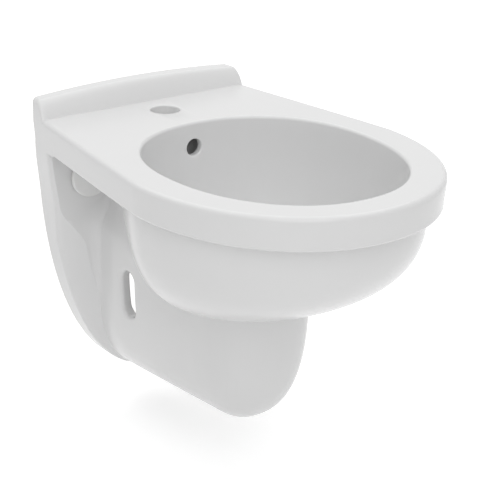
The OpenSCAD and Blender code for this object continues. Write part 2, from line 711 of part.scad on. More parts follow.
module plug_cap() {
  color([0.85, 0.85, 0.87])
    difference() {
      translate([0, -waste_y, plug_z])
        rotate_extrude($fn = 96)
          polygon([for (p = [[0, 0], [-1, 0], [0, 0.15], [0, 0.3], [-2, 0.52], [-8, 0.76], [-18, 0.94]])
            [p == [0, 0] ? 0 : plug_d/2 + p[0], plug_height*p[1]], [0, plug_height]]);
      bore_z(0, waste_y, plug_z - 1, plug_z + socket_depth, rod_r + socket_play);
    }
}

module plug_seal() {
  color([0.15, 0.15, 0.15])
    tube_z(waste_y, plug_z - plug_seal_thick, plug_z, plug_seal_d/2, plug_seal_bore_d/2);
}

ceramic_body();
fixing_sleeve(-1);  // left_fixing_sleeve
fixing_sleeve(1);  // right_fixing_sleeve
fixing_washer(-1);  // left_fixing_washer
fixing_washer(1);  // right_fixing_washer
fixing_nut(-1);  // left_fixing_nut
fixing_nut(1);  // right_fixing_nut
fixing_cap(-1);  // left_fixing_cap
fixing_cap(1);  // right_fixing_cap
waste_body();
waste_rim_seal();
waste_gasket();
waste_washer();
waste_backnut();
cartridge_housing();
cartridge_spring();
cartridge_plunger();
plug_cap();
plug_seal();
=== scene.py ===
import json

import bmesh
import bpy
import numpy as np
from mathutils import Matrix, Vector

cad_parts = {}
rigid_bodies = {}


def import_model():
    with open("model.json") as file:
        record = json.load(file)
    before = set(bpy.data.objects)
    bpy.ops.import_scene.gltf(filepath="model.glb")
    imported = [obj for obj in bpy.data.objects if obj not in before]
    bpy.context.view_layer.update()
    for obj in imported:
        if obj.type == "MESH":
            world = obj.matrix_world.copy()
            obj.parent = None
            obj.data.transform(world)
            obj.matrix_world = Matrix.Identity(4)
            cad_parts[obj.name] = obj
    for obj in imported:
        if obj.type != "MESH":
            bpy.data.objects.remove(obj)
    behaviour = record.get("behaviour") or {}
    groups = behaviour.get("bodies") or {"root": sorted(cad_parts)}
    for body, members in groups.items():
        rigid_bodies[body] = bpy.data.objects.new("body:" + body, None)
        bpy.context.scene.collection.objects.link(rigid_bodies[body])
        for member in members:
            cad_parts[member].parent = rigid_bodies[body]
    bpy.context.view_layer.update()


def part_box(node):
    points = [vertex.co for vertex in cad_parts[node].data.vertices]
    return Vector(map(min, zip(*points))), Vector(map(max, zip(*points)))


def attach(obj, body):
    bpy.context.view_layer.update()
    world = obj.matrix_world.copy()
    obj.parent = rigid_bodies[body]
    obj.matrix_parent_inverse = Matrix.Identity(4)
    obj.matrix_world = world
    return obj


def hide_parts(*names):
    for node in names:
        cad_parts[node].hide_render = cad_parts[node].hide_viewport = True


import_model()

# Sizes in millimetres, as in the part's source. Shapes are worked out in x, q (distance from the
# wall) and z (height over the rim plane), then moved to the row frame, whose origin is at the
# wall studs.
STUD_X, STUD_DROP = 90.0, 73.0
TAP = dict(q=68.0, radius=17.5, edge=2.0)
RIM = dict(width=355.0, depth=480.0, arc=274.0, power=2.08, flare=36.0, flare_power=1.08,
           band=38.0, radius=6.0, draft=2.0)
UNDER_RIM = 38.5
LEDGE = dict(height=20.5, crown=6.0, foot=27.5, top=12.0)
BOWL_IN = dict(half=135.0, rear=145.0, front=166.0, depth=160.0, waste=235.0, floor=34.0)
BOWL_OUT = dict(half=167.0, front=181.0, taper=0.00398, bend=60.0, drop=160.0, slope=27.5)
FLANGE = dict(half=137.0, depth=349.0, start=20.0, power=2.24, thick=40.0, lip=2.7)
SKIRT = dict(half=70.0, taper=10.0, neck=60.0, nose=222.0, length=82.0, keel=345.0,
             keel_start=150.0, slope=0.05, wall=11.0)
POCKET = dict(start=92.0, end=146.0, rise=0.5, round=3.4, cove=9.0, open=72.0)
SLOT = dict(y=102.0, drop=211.0, width=24.0, height=60.0, edge=4.5)
HOLLOW = dict(roof=22.0, back=87.0, front=95.0, under=140.0, fall=0.631, lowest=205.0,
              round=12.0, cove=58.0)
OVERFLOW = dict(drop=31.0, chamber=110.0, way=8.0)


# Shape of the casting

def clip01(t):
    return np.clip(t, 0.0, 1.0)


def smooth(t):
    """Smooth step from 0 to 1: 3t^2 - 2t^3."""
    t = clip01(t)
    return t * t * (3 - 2 * t)


def signed_power(g, p):
    """|g|^p with the sign of g."""
    return np.sign(g) * np.abs(g) ** p


def rim_half(q):
    """Half width of the rim: a superellipse arc at the front, sides drawing in to the wall."""
    r = RIM
    along_arc = clip01((q - r["arc"]) / (r["depth"] - r["arc"]))
    front = (1 - along_arc ** r["power"]) ** (1 / r["power"])
    side = r["width"] / 2 - r["flare"] * clip01((r["arc"] - q) / r["arc"]) ** r["flare_power"]
    return np.where(q > r["arc"], r["width"] / 2 * front, side)


def rim_normal(x, q):
    """Outward direction of the rim outline, from the gradient of the arc or the slope of the side.
    The last point lies at the wall and looks straight sideways."""
    r = RIM
    length = r["depth"] - r["arc"]
    gx = (np.clip(x, 0, None) * 2 / r["width"]) ** (r["power"] - 1) * 2 / r["width"]
    gq = clip01((q - r["arc"]) / length) ** (r["power"] - 1) / length
    slope = clip01((r["arc"] - q) / r["arc"]) ** (r["flare_power"] - 1)
    s = -r["flare"] * r["flare_power"] / r["arc"] * slope
    arc, side = np.stack([gx, gq], 1), np.stack([np.ones_like(s), s], 1)
    n = np.where((q > r["arc"])[:, None], arc, side)
    n[-1] = (1, 0)
    return n / np.linalg.norm(n, axis=1)[:, None]


def plate(z, q=0.0):
    """Half width of the back flange: a superellipse that closes at its foot and follows the rim
    at its top."""
    f = FLANGE
    d = np.clip(-z - f["start"], 0, None) / (f["depth"] - f["start"])
    lip = f["lip"] * (1 - smooth((-z - RIM["band"]) / 60))
    flare = (rim_half(q) - rim_half(0.0)) * (1 - smooth((-z - RIM["band"]) / 130))
    return f["half"] * np.sqrt(np.clip(1 - d ** f["power"], 0, None)) + lip + flare


def flange(z, q):
    """The same with its front edge taken off: half width less a (sqrt(t^2 + e^2) - e), a soft
    chamfer that grows from 5 by 5 mm beside the recess to a wide sloping shoulder under it."""
    s = smooth((-z - 108) / 56)
    wide, deep, e = 5 + 25 * s, 5 + 11 * s, 0.45
    t = clip01((q - FLANGE["thick"]) / deep + 1)
    return np.clip(plate(z, q) - wide * (np.hypot(t, e) - e) / (np.hypot(1, e) - e), 0, None)


def cove(q, radius):
    """Share of the flange width left at distance q, falling along a quarter circle."""
    u = clip01((q - FLANGE["thick"]) / radius)
    return np.where(q <= FLANGE["thick"], 1.0, 1 - np.sqrt(np.clip(1 - (1 - u) ** 2, 0, None)))


def below(z, q=40.0):
    """Smooth passage from the recess to the stem under it, higher up near the bowl."""
    p = POCKET
    rise = p["rise"] * np.clip(q - FLANGE["thick"], 0, 60)
    return smooth((-z - p["start"] + rise) / (p["end"] - p["start"]))


def skirt2(q, z):
    """Squared half width of the skirt: a superellipse in plan and down to the keel."""
    s = SKIRT
    g = 1 - np.clip((q - s["nose"]) / s["length"], 0, None) ** 3.15
    keel = s["keel"] - s["slope"] * q
    g = g - np.clip((-z - s["keel_start"]) / (keel - s["keel_start"]), 0, None) ** 3.2
    full = s["half"] + s["taper"] * clip01((s["nose"] - q) / 150)
    k = s["neck"] + (full - s["neck"]) * below(z)
    return k ** 2 * signed_power(g, 2 / 2.36)


def bowl2(q, z):
    """Squared half width of the bowl outside: a long egg under the rim, drawn in to the wall."""
    b = BOWL_OUT
    height = b["drop"] - b["slope"] * np.clip((q - 200) / 150, 0, 1.6)
    power = 3.05 - 1.0 * smooth((RIM["arc"] - q) / 110)
    drop = np.clip((-z - UNDER_RIM) / height, 0, None) ** power
    front = np.clip((q - RIM["arc"]) / b["front"], 0, None) ** 2.1
    rear = np.clip(RIM["arc"] - q, 0, None)
    plan = np.clip(1 - b["taper"] * (np.hypot(rear, b["bend"]) - b["bend"]), 0, None)
    g = 1 - front - drop
    half = b["half"] * np.where(g < 0, np.maximum(plan, 0.24), plan)
    return half ** 2 * signed_power(g, 2 / 2.07)


def stem2(q, z, neck_side):
    """Squared half width of flange and skirt together: a square recess above, and below it the
    flange falling to the skirt in a small cove."""
    p = POCKET
    k = skirt2(q, z)
    low = k + np.clip(flange(z, q) ** 2 - k, 0, None) * cove(q, p["cove"])
    outer = (q < FLANGE["thick"]) | ((q <= FLANGE["thick"] + 1e-9) & ~neck_side)
    neck = np.sqrt(np.clip(k, 0, None)) + p["round"] * cove(q, p["round"])
    pocket = np.where(outer, flange(z, q), neck)
    s = below(z, q)
    mixed = (pocket * (1 - s) + np.sqrt(np.clip(low, 0, None)) * s) ** 2
    return np.where((k < 0) | (s >= 1), low, mixed)


def half2(q, z, neck_side, blend=3500.0):
    """Squared half width of the casting: a smooth union of the stem and the bowl."""
    a, b = stem2(q, z, neck_side), bowl2(q, z)
    d = clip01(0.5 + 0.5 * (a - b) / blend)
    return b + (a - b) * d + blend * d * (1 - d)


# The outside is drawn on rays that start under the rim and run down to where the casting ends.

def ray_tilt(q):
    """How far each ray leans forward, in radians: a little at the sides, more at the front."""
    lean = np.radians(24) * smooth((q - 40) / 120) * (1 - 0.6 * smooth((q - 215) / 70))
    return lean + np.radians(50) * smooth((q - 340) / 130)


def along(q, s, tilt):
    """Points at length s on the rays: q + s sin(tilt), under the rim less s cos(tilt)."""
    return q + s * np.sin(tilt), -UNDER_RIM - s * np.cos(tilt)


def lowest_root(q, tilt, neck_side):
    """Length of each ray to where the casting ends: steps of 2 mm, then halving."""
    s = np.linspace(0, 450, 226)[:, None]
    inside = half2(*along(q, s, tilt), neck_side) > 0
    k = np.where(inside.all(0), len(s) - 1, np.argmin(inside, 0))
    lo, hi = s[np.maximum(k - 1, 0), 0], s[k, 0]
    for _ in range(28):
        m = (lo + hi) / 2
        g = half2(*along(q, m, tilt), neck_side) > 0
        lo, hi = np.where(g, m, lo), np.where(g, hi, m)
    return lo


def under_front():
    """Distance from the wall to the front of the bowl just under the rim, by halving."""
    lo, hi = RIM["arc"], RIM["arc"] + BOWL_OUT["front"] + 5
    for _ in range(30):
        m = (lo + hi) / 2
        inside = half2(np.array([m]), np.array([-UNDER_RIM]), np.array([True]))[0] > 0
        lo, hi = (m, hi) if inside else (lo, m)
    return lo


def to_rim(q, front):
    """Distance on the rim above each ray's start: the arc stretched in proportion to its front."""
    arc = RIM["arc"]
    return np.where(q > arc, arc + (q - arc) * (RIM["depth"] - arc) / (front - arc), q)


def ray_starts(front, count=132):
    """Distances from the wall at which the rays start, front first, and how many of the last ones
    are on the flange. The rays start and end about evenly spaced, and stand close together in the
    recess behind the bowl."""
    arc, recess_open = RIM["arc"], POCKET["open"]
    thick, bend = FLANGE["thick"], POCKET["round"]
    on_arc = arc + (front - arc) * np.cos(np.linspace(0, np.pi / 2, 1500))
    q = np.concatenate([on_arc, np.linspace(arc, recess_open, 3000)[1:]])
    tilt = ray_tilt(q)
    reach = lowest_root(q, tilt, np.ones(len(q), bool))

    def steps(x, y):
        return np.linalg.norm(np.diff(np.stack([x, y], 1), axis=0), axis=1)

    way = steps(rim_half(to_rim(q, front)), q) + 0.8 * steps(*along(q, reach, tilt))
    way = np.concatenate([[0], np.cumsum(way)])
    open_part = np.interp(np.linspace(0, way[-1], count), way, q)
    recess = recess_open - (recess_open - thick - bend) * np.linspace(0, 1, 17)[1:] ** 0.8
    corner = thick + bend * (1 - np.sin(np.linspace(0, np.pi / 2, 9)))[1:]
    edge = thick - (thick - 14) * np.linspace(0, 1, 17) ** 2
    on_flange = np.concatenate([edge, np.linspace(12, 0, 5)])
    return np.concatenate([open_part, recess, corner, on_flange]), len(on_flange)


def across(side, n):
    """A row of side points, continued over the flat back to the middle."""
    t = np.linspace(1, 0, n + 1)[1:]
    w = side[-1]
    back = np.stack([w[0] * t, np.zeros(n), np.full(n, w[2])], 1)
    return np.concatenate([side, back])


def deck_z(x, q):
    """Height of the deck: flat, and a crowned ledge along the wall. The front of the ledge falls as
    (1 - u^1.8)^0.75, rolling over from its top and standing steep where it meets the deck."""
    d = LEDGE
    u = clip01((q - d["top"]) / (d["foot"] - d["top"]))
    crown = d["crown"] * (1 - np.clip(x / 140, -1, 1) ** 2)
    return (1 - u ** 1.8) ** 0.75 * (d["height"] + crown)


def opening_radius(a):
    """Opening of the bowl in polar form about the arc's start: two half superellipses."""
    s, c, b = np.sin(a), np.cos(a), BOWL_IN
    front = ((s / b["half"]) ** 2.13 + (np.abs(c) / b["front"]) ** 2.13) ** (-1 / 2.13)
    rear = ((s / b["half"]) ** 2.18 + (np.abs(c) / b["rear"]) ** 2.18) ** (-1 / 2.18)
    return np.where(c >= 0, front, rear)


def casting_rings(back_points=14, inner_rings=44):
    """Half rings of the casting from the waste up the bowl, over the rim and down to the keel."""
    front = under_front()
    low, flange_rays = ray_starts(front)
    neck_side = np.arange(len(low)) < len(low) - flange_rays
    row = to_rim(low, front)
    x = rim_half(row)
    normal = rim_normal(x, row)

    def band(d, z):
        """The rim outline at height z, moved in by d. Low down and near the wall, the flange may
        stand further out."""
        p = np.stack([x, row], 1) - d * normal
        p[-1, 1] = 0
        p[:, 0] = np.clip(p[:, 0], 0, None)
        if z < -25:
            p[:, 0] = np.where(p[:, 1] < 56, np.maximum(p[:, 0], plate(z, p[:, 1])), p[:, 0])
        return across(np.column_stack([p, np.full(len(row), z)]), back_points)

    def top(d, z):
        """The same outline at z over the deck."""
        r = band(d, 0.0)
        r[:, 2] = deck_z(r[:, 0], r[:, 1]) + z
        return r

    # The bowl inside: superellipse profiles between the waste and the opening, then a rounded lip.
    rad = RIM["radius"]
    edge = top(rad + 0.7, 0.0)
    ang = np.arctan2(edge[:, 0], edge[:, 1] - RIM["arc"])
    ang[0], ang[-1] = 0, np.pi
    reach = opening_radius(ang)

    def lip(d, z):
        """The opening at height z, widened by d."""
        p = np.stack([(reach + d) * np.sin(ang), RIM["arc"] + (reach + d) * np.cos(ang),
                      np.full(len(ang), z)], 1)
        p[[0, -1], 0] = 0
        return p

    power = 3.3 - 0.6 * smooth((np.degrees(ang) - 70) / 90)
    foot = np.stack([BOWL_IN["floor"] * np.sin(ang),
                     BOWL_IN["waste"] + BOWL_IN["floor"] * np.cos(ang)], 1)
    foot[[0, -1], 0] = 0
    wall = lip(0, 0)

    def inner(t):
        """Share cos(t)^(2/p) of the way from the waste to the opening, sin(t)^(2/p) deep."""
        s, d = np.cos(t) ** (2 / power), np.sin(t) ** (2 / power)
        p = foot + (wall[:, :2] - foot) * s[:, None]
        return np.column_stack([p, -4 - (BOWL_IN["depth"] - 4) * d])

    turns = np.pi / 2 * (1 - np.linspace(0, 1, inner_rings + 1))
    rings = [inner(np.full(len(ang), t)) for t in turns]
    rings += [lip(4 * (1 - np.cos(a)), -4 * (1 - np.sin(a)))
              for a in np.radians([15, 30, 45, 60, 75, 90])]
    rings.append(lip(4.8, 0))

    # The deck: rings that follow the ledge near the wall and are evenly spread elsewhere.
    start = lip(5.5, 0)
    rings.append(start)
    hug = smooth((80 - edge[:, 1]) / 50)
    for m, t in zip(np.linspace(30, 12, 19), np.linspace(0.05, 0.95, 19)):
        near = clip01((start[:, 1] - m) / np.maximum(start[:, 1] - edge[:, 1], 1e-9))
        spread = t + (0.965 + 0.03 * t - t) * hug
        k = np.where(edge[:, 1] < LEDGE["foot"] + 2.01, near, spread)
        p = start + (edge - start) * k[:, None]
        p[k >= 1] = edge[k >= 1]
        p[:, 2] = deck_z(p[:, 0], p[:, 1])
        rings.append(p)
    rings.append(edge)

    # The rounded outer edge, the band with its draft, and its rounded foot.
    draft = RIM["draft"]
    rings += [top(rad * (1 - np.sin(a)), -rad * (1 - np.cos(a)))
              for a in np.radians([0, 12, 25, 38, 52, 65, 78, 90])]
    rings += [band(draft * t, -8 - 22 * t) for t in (0.0, 0.35, 0.7, 1.0)]
    rings += [band(draft + 4 * (1 - np.cos(a)), -34 - 4 * np.sin(a))
              for a in np.radians([0, 20, 40, 60, 75, 90])]
    rings.append(band(draft + 5, -RIM["band"]))

    # The outside along the rays, with a ring on the crease where the bowl meets the stem.
    tilt = ray_tilt(low)
    length = lowest_root(low, tilt, neck_side)
    s = np.linspace(0, 1, 400)[:, None] * length
    q, z = along(low, s, tilt)
    over = bowl2(q, z) > stem2(q, z, np.ones_like(neck_side))
    last = len(s) - 1 - np.argmax(over[::-1], 0)
    crease = np.where(over.any(0), s[last, np.arange(len(low))], 0)
    crease = np.clip(crease, 0.16 * length, 0.9 * length)
    t1 = 1 - (1 - np.linspace(0, 1, 41)[:, None]) ** 1.5
    t2 = np.linspace(0, 1, 47)[1:, None]
    t2 = 0.45 * (1 - (1 - t2) ** 2) + 0.55 * smooth(t2)
    q, z = along(low, np.concatenate([t1 * crease, crease + (length - crease) * t2]), tilt)
    w = np.sqrt(np.clip(half2(q, z, neck_side), 0, None))
    w[-1] = 0
    rings += [across(np.stack([a, b, c], 1), back_points) for a, b, c in zip(w, q, z)]
    return np.array(rings)


# Meshes

def to_row(p):
    """From x, q, z in millimetres to the row frame in metres."""
    p = np.asarray(p, float)
    return np.stack([p[..., 0], -p[..., 1], p[..., 2] + STUD_DROP], -1) / 1000


def new_object(name, data):
    obj = bpy.data.objects.new(name, data)
    bpy.context.scene.collection.objects.link(obj)
    return obj


def ring_faces(rows, cols):
    """Quads between closed rings of cols points."""
    a = np.arange(cols)
    b = (a + 1) % cols
    k = np.arange(rows - 1)[:, None] * cols
    return np.stack([k + a, k + b, k + b + cols, k + a + cols], -1).reshape(-1, 4)


def closed_mesh(name, rings, last_fan=True):
    """A closed skin through closed rings with a fan at each end, unless the last ring closes on
    itself; doubles are merged."""
    rows, cols = rings.shape[:2]
    mesh = bpy.data.meshes.new(name)
    verts = np.concatenate([rings.reshape(-1, 3), rings[0].mean(0)[None], rings[-1].mean(0)[None]])
    a = np.arange(cols)
    b = (a + 1) % cols
    first = np.stack([b, a, np.full(cols, rows * cols)], 1)
    end = (rows - 1) * cols
    last = np.stack([end + a, end + b, np.full(cols, rows * cols + 1)], 1)
    faces = ring_faces(rows, cols).tolist() + first.tolist() + (last.tolist() if last_fan else [])
    mesh.from_pydata(verts.tolist(), [], faces)
    bm = bmesh.new()
    bm.from_mesh(mesh)
    bmesh.ops.remove_doubles(bm, verts=bm.verts, dist=2e-6)
    bmesh.ops.delete(bm, geom=[v for v in bm.verts if not v.link_faces], context="VERTS")
    bmesh.ops.recalc_face_normals(bm, faces=bm.faces)
    bm.to_mesh(mesh)
    bm.free()
    return new_object(name, mesh)


def turned(name, profile, centre, axis="z", sides=96):
    """A turned form: (radius, height) pairs carried round an axis through centre, which runs up
    (z) or away from the wall (q)."""
    r, h = np.array(profile, float).T
    a = np.linspace(0, 2 * np.pi, sides, endpoint=False)
    x, y, t = r[:, None] * np.cos(a), r[:, None] * np.sin(a), np.repeat(h[:, None], sides, 1)
    p = np.stack([x, y, t] if axis == "z" else [x, t, y], -1)
    return closed_mesh(name, to_row(p + np.array(centre, float)))


def smooth_shade(obj, angle=35):
    obj.data.polygons.foreach_set("use_smooth", np.ones(len(obj.data.polygons), bool))
    obj.data.set_sharp_from_angle(angle=np.radians(angle))


def cut(obj, tools):
    """Take each tool out of the piece and bake the result into its mesh."""
    for tool in tools:
        m = obj.modifiers.new("cut", "BOOLEAN")
        m.operation, m.solver, m.object = "DIFFERENCE", "MANIFOLD", tool
    graph = bpy.context.evaluated_depsgraph_get()
    mesh = bpy.data.meshes.new_from_object(obj.evaluated_get(graph))
    obj.modifiers.clear()
    obj.data = mesh
    for tool in tools:
        bpy.data.objects.remove(tool)


def fillet(r, n=5):
    """Quarter circle steps (outward, depth) of a rounded edge of radius r."""
    a = np.linspace(0, np.pi / 2, n + 1)
    return [(r * (1 - np.sin(t)), r * (1 - np.cos(t))) for t in a]


def slot_tool(sign):
    """A stadium carried through the skirt wall, opening out in a rounded edge at the skin."""
    a = np.linspace(0, 2 * np.pi, 72, endpoint=False)
    r, h, edge = SLOT["width"] / 2, (SLOT["height"] - SLOT["width"]) / 2, SLOT["edge"]
    rows = []
    for grow, depth in [(edge, -6.0), (edge, -0.2)] + fillet(edge, 6)[1:] + [(0, 30.0)]:
        q = SLOT["y"] + (r + grow) * np.cos(a)
        z = -SLOT["drop"] + (r + grow) * np.sin(a) + h * np.sign(np.round(np.sin(a), 6))
        skin = np.sqrt(stem2(q, z, np.ones(np.shape(q), bool)))
        rows.append(np.stack([sign * (skin - depth), q, z], -1))
    return closed_mesh("slot", to_row(rows))


def hollow_roof(q):
    """Height of the hollow's roof: level under the deck, steep behind the bowl, then sloping down
    under it to a lowest level."""
    h = HOLLOW
    if q < h["back"]:
        return -h["roof"]
    if q < h["front"]:
        share = (q - h["back"]) / (h["front"] - h["back"])
        return -h["roof"] - share * (h["under"] - h["roof"])
    return max(-h["lowest"], -h["under"] - (q - h["front"]) * h["fall"])


def hollow_tool():
    """The hollow behind the bowl: U-shaped sections from the wall to the skirt's nose, each with a
    rounded roof. The sides run one wall inside the skirt and widen into the flange in a cove."""
    wall, corner = SKIRT["wall"], HOLLOW["round"]
    sections = np.array([-5, 0, 6, 14, 19, 20.5, 23, 27, 33, 41, 51, 62, 75, 87, 91, 95, 102, 115,
                         132, 150, 165, 179, 196, 215, 235, 250, 262, 272, 280, 286.0])

    def inside(q, z):
        return np.clip(np.sqrt(np.clip(skirt2(q + wall, z - wall), 0, None)) - wall, 0, None)

    def half(q, z):
        own = inside(q, z)
        in_flange = np.clip(plate(z - 16) - 24 - own, 0, None)
        return own + in_flange * cove(q + wall, HOLLOW["cove"]) * smooth((-z - 118) / 50)

    rows = []
    for q in sections:
        roof = hollow_roof(q)
        z = np.linspace(-SKIRT["keel"] + 0.5, -235, 2200)
        foot = z[np.argmax(inside(q, z) > 0)]
        w = float(half(q, roof - corner))
        c = np.radians(np.linspace(0, 75, 6))
        n = np.linspace(0, 1, 40)
        side = roof - corner - (roof - corner - foot) * (0.5 * n + 0.25 * (1 - np.cos(np.pi * n)))
        x = np.concatenate([[0], w - corner * (1 - np.sin(c)), half(q, side[:-1]),
                            [float(half(q, foot + 1.0)), 0]])
        y = np.concatenate([[roof], roof - corner * (1 - np.cos(c)), side[:-1],
                            [foot + 1.0, foot]])
        r = np.stack([x, np.full(len(x), q), y], 1)
        rows.append(np.concatenate([r, (r * [-1, 1, 1])[-2:0:-1]]))
    return closed_mesh("hollow", to_row(np.array(rows)))


def sweep_tool(path, radius, sides=40):
    """A round way along a smooth path in the middle plane: a circle square to it at each point."""
    p = np.array(path, float)
    t = np.gradient(p, axis=0)
    t /= np.linalg.norm(t, axis=1)[:, None]
    a = np.linspace(0, 2 * np.pi, sides, endpoint=False)
    n = np.stack([-t[:, 1], t[:, 0]], 1)
    x = radius * np.cos(a)[None] * np.ones((len(p), 1))
    q = p[:, :1] + radius * np.sin(a) * n[:, :1]
    z = p[:, 1:] + radius * np.sin(a) * n[:, 1:]
    return closed_mesh("way", to_row(np.stack([x, q, z], -1)))


def overflow_tools():
    """The overflow: a hole from the bowl into a stadium-shaped chamber, and a way that runs down
    from it, bends in a quadratic curve and meets the side of the waste hole."""
    back = OVERFLOW["chamber"]
    hole = [(10, back - 2), (10, 127.4), (10.3, 128.4), (11, 129.3), (12.4, 129.9), (12.6, 131),
            (12.6, 150)]
    u = np.linspace(0, 2 * np.pi, 64, endpoint=False)
    plan = np.stack([18 * np.sign(np.round(np.cos(u), 6)) + 12 * np.cos(u),
                     back + 12 * np.sin(u)], 1)
    chamber = [np.column_stack([plan, np.full(64, z)]) for z in (-84, -17)]
    top, bend, corner, turned_in, end = np.array([[back, -80], [back, -116], [back, -128],
                                                  [120, -134.4], [221, -197.0]])
    t = np.linspace(0, 1, 9)[1:-1, None]
    curve = (1 - t) ** 2 * bend + 2 * t * (1 - t) * corner + t ** 2 * turned_in
    path = np.concatenate([[top, (top + bend) / 2, bend], curve,
                           [turned_in, (turned_in + end) / 2, end]])
    return [turned("overflow", hole, (0, 0, -OVERFLOW["drop"]), "q", 64),
            closed_mesh("chamber", to_row(np.array(chamber))),
            sweep_tool(path, OVERFLOW["way"])]


def ceramic():
    """The glazed casting: rings of the skin, less the hollow, the holes and the waterways."""
    half = casting_rings()
    other = half[:, -2:0:-1] * [-1, 1, 1]
    rings = to_row(np.concatenate([half, other], 1))
    body = closed_mesh("glazed_casting", rings, last_fan=False)
    bore = TAP["radius"]
    tap = [(bore + 2.2, 6), (bore + 2, 0.02)]
    tap += [(bore + o, -d) for o, d in fillet(TAP["edge"])[1:]] + [(bore, -40)]
    stud = [(9, -3), (9, 28), (22, 28), (22, 39.2), (22.8, 40.02), (22.8, 50)]
    waste = [(23, -240), (23, -162), (32, -162), (32, -160.8), (33, -159.98), (33, -150)]
    tools = [hollow_tool(), slot_tool(1), slot_tool(-1), turned("tap", tap, (0, TAP["q"], 0))]
    tools += [turned("stud", stud, (STUD_X * s, 0, -STUD_DROP), "q") for s in (-1, 1)]
    tools.append(turned("waste", waste, (0, BOWL_IN["waste"], 0)))
    cut(body, tools + overflow_tools())
    smooth_shade(body, 32)
    return body


# Materials

def rgba(hex_code):
    """An sRGB hex colour as linear RGBA."""
    v = np.array([int(hex_code[i:i + 2], 16) / 255 for i in (1, 3, 5)])
    v = np.where(v <= 0.04045, v / 12.92, ((v + 0.055) / 1.055) ** 2.4)
    return (*[float(c) for c in v], 1.0)


def add(mat, kind, settings=None, **links):
    """Add a node: settings are its properties, links are its inputs as values or (node, output).
    An input is given by its name, or by i and its number."""
    tree = mat.node_tree
    n = tree.nodes.new(kind)
    for key, value in (settings or {}).items():
        setattr(n, key, value)
    for key, value in links.items():
        numbered = key[0] == "i" and key[1:].isdigit()
        socket = n.inputs[int(key[1:]) if numbered else key.replace("_", " ")]
        if isinstance(value, tuple) and isinstance(value[0], bpy.types.Node):
            tree.links.new(value[0].outputs[value[1]], socket)
        else:
            socket.default_value = value
    return n


def new_material(name):
    mat = bpy.data.materials.new(name)
    mat.use_nodes = True
    mat.node_tree.nodes.clear()
    return mat


def glaze():
    # Vitreous china under a white tin glaze: a clear, hard gloss over a white body, with a faint
    # pull in the glaze a few centimetres long. The wall side is wiped bare before firing.
    mat = new_material("white sanitary glaze")
    pos = add(mat, "ShaderNodeTexCoord")
    pull = add(mat, "ShaderNodeTexNoise", Vector=(pos, "Object"), Scale=22.0, Detail=2.0,
               Roughness=0.45)
    tone = add(mat, "ShaderNodeMix", {"data_type": "RGBA"}, i0=(pull, 0),
               i6=rgba("#E4E4E4"), i7=rgba("#E6E6E6"))
    split = add(mat, "ShaderNodeSeparateXYZ", Vector=(pos, "Object"))
    bare = add(mat, "ShaderNodeMath", {"operation": "GREATER_THAN"}, i0=(split, 1), i1=-0.0004)
    bisque = add(mat, "ShaderNodeTexNoise", Vector=(pos, "Object"), Scale=900.0, Detail=4.0)
    clay = add(mat, "ShaderNodeMix", {"data_type": "RGBA"}, i0=(bisque, 0),
               i6=rgba("#DAD5CA"), i7=rgba("#E6E2D9"))
    colour = add(mat, "ShaderNodeMix", {"data_type": "RGBA"}, i0=(bare, 0), i6=(tone, 2),
                 i7=(clay, 2))
    rough = add(mat, "ShaderNodeMapRange", Value=(bare, 0), i3=0.22, i4=0.8)
    bump = add(mat, "ShaderNodeBump", Strength=0.05, Distance=0.0006, Height=(pull, 0))
    shader = add(mat, "ShaderNodeBsdfPrincipled", Base_Color=(colour, 2), Roughness=(rough, 0),
                 IOR=1.5, Normal=(bump, 0))
    add(mat, "ShaderNodeOutputMaterial", Surface=(shader, 0))
    return mat


def moulded(name, dark, light, rough, grain_mm, depth_mm):
    """A moulded plastic or rubber: two near tones and a fine moulded grain of the given size."""
    mat = new_material(name)
    pos = add(mat, "ShaderNodeTexCoord")
    cloud = add(mat, "ShaderNodeTexNoise", Vector=(pos, "Object"), Scale=60.0, Detail=2.0)
    grain = add(mat, "ShaderNodeTexNoise", Vector=(pos, "Object"), Scale=1000.0 / grain_mm,
                Detail=3.0)
    tone = add(mat, "ShaderNodeMix", {"data_type": "RGBA"}, i0=(cloud, 0),
               i6=rgba(dark), i7=rgba(light))
    bump = add(mat, "ShaderNodeBump", Strength=0.3, Distance=depth_mm / 1000, Height=(grain, 0))
    shader = add(mat, "ShaderNodeBsdfPrincipled", Base_Color=(tone, 2), Roughness=rough,
                 Normal=(bump, 0))
    add(mat, "ShaderNodeOutputMaterial", Surface=(shader, 0))
    return mat


def metal(name, dark, light, rough_low, rough_high, brush_mm):
    """A metal: two near tones and fine turning marks of the given spacing around the axis."""
    mat = new_material(name)
    pos = add(mat, "ShaderNodeTexCoord")
    fine = add(mat, "ShaderNodeMapping", Vector=(pos, "Object"), Scale=(0.15, 0.15, 1.0))
    marks = add(mat, "ShaderNodeTexNoise", Vector=(fine, 0), Scale=1000.0 / brush_mm, Detail=2.0)
    tone = add(mat, "ShaderNodeMix", {"data_type": "RGBA"}, i0=(marks, 0),
               i6=rgba(dark), i7=rgba(light))
    rough = add(mat, "ShaderNodeMapRange", Value=(marks, 0), i3=rough_low, i4=rough_high)
    shader = add(mat, "ShaderNodeBsdfPrincipled", Base_Color=(tone, 2), Metallic=1.0,
                 Roughness=(rough, 0))
    add(mat, "ShaderNodeOutputMaterial", Surface=(shader, 0))
    return mat


def dress(obj, mat):
    obj.data.materials.clear()
    obj.data.materials.append(mat)
    return obj


white_glaze = glaze()
# Gloss polypropylene cap, moulded: white with a slight grey, softer gloss than the glaze.
cap_plastic = moulded("white moulded cap plastic", "#EDEDEC", "#F1F1F0", 0.32, 0.8, 0.01)
# Natural nylon of the sleeves and the click cartridge: milky and slightly rough.
nylon = moulded("natural nylon", "#DEDDD6", "#E8E7E1", 0.5, 0.6, 0.02)
